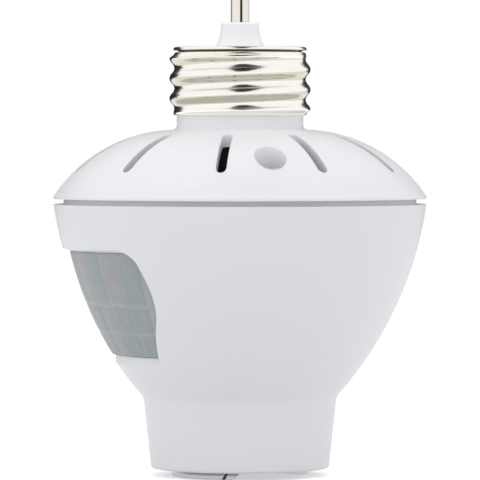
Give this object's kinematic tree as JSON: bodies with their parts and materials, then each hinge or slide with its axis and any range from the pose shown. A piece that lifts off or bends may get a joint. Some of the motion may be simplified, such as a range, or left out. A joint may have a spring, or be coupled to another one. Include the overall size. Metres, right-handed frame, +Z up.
{
  "type": "motion sensor lamp socket adapter",
  "caption": "White mushroom-shaped adapter with a screw base on top, a motion sensor window in its side and a lamp socket below, which switches the lamp when someone moves nearby.",
  "frame": {"origin": "on the axis, at the lower edge of the lamp's screw shell", "axes": "+Z up along the axis towards the screw base, -X out of the sensor's window"},
  "size_m": [0.0692, 0.0692, 0.0886],
  "materials": {
    "housing_white": "fine moulded texture",
    "cover_white": "fine moulded texture",
    "insulator_white": "smooth",
    "socket_white": "smooth",
    "lens_milky": "translucent moulded lens with fine ribs",
    "shroud_black": "smooth",
    "nickel": "bright nickel plate",
    "contact_nickel": "bright nickel plate",
    "brass": "plain",
    "steel": "zinc plated",
    "board_green": "solder mask over glass laminate",
    "can_metal": "drawn can",
    "filter_dark": "silicon filter",
    "cell_clear": "resin over a light cell",
    "relay_black": "moulded",
    "film_yellow": "moulded box",
    "chip_black": "moulded",
    "varistor_blue": "epoxy coat",
    "fuse_glass": "glass tube",
    "diode_black": "moulded",
    "resistor_tan": "lacquer",
    "sleeve_black": "shrink sleeve over a can",
    "lead_black": "insulated wire",
    "lead_white": "insulated wire",
    "lead_red": "insulated wire"
  },
  "bodies": {
    "body": {"lower_housing": "housing_white", "top_cover": "cover_white", "lens": "lens_milky", "sensor_shroud": "shroud_black", "sensor_board": "board_green", "pir_sensor": "can_metal", "pir_filter": "filter_dark", "photocell": "cell_clear", "main_board": "board_green", "relay": "relay_black", "film_capacitor": "film_yellow", "control_chip": "chip_black", "varistor": "varistor_blue", "fuse": "fuse_glass", "rectifier_diodes": "diode_black", "dropper_resistor": "resistor_tan", "board_link": "contact_nickel", "base_screw_shell": "nickel", "base_insulator": "insulator_white", "contact_sleeve": "brass", "socket_shell": "nickel", "socket_cup": "socket_white", "socket_contact": "brass", "socket_rivets": "brass", "socket_screws": "steel", "cover_screws": "steel", "base_neutral_lead": "lead_white", "base_line_lead": "lead_black", "switched_lead": "lead_red", "socket_neutral_lead": "lead_white", "smoothing_capacitor": "sleeve_black", "timing_capacitor": "sleeve_black"},
    "contact": {"center_contact_pin": "contact_nickel"}
  },
  "joints": [
    {"name": "contact_slide", "type": "slide", "parent": "body", "child": "contact", "axis": [0, 0, 1], "range_m": [-0.004, 0.0025]}
  ]
}
